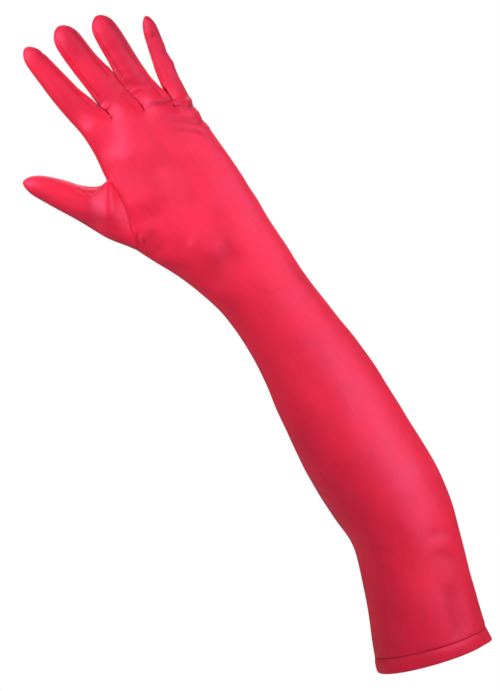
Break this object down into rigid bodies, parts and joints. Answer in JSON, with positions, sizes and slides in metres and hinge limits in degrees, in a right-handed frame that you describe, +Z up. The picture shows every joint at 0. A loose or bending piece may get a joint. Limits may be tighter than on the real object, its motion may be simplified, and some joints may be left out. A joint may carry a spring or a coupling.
{
  "type": "elbow length glove",
  "caption": "Long fitted satin dress glove that reaches past the elbow, filled out as when worn, with set-in thumb, finger side strips and a turned-up hem.",
  "frame": {"origin": "centre of the arm opening, at the middle of the hem's lower edge", "axes": "+Z up along the glove from the hem to the fingertips, +X across the palm towards the little finger, -Y out of the palm"},
  "size_m": [0.3443, 0.0813, 0.4845],
  "materials": {
    "satin": "stretch satin"
  },
  "bodies": {
    "root": {"hand_and_sleeve": "satin", "thumb": "satin", "cuff_hem": "satin", "fourchette_index_middle": "satin", "fourchette_middle_ring": "satin", "fourchette_ring_little": "satin"}
  },
  "joints": []
}
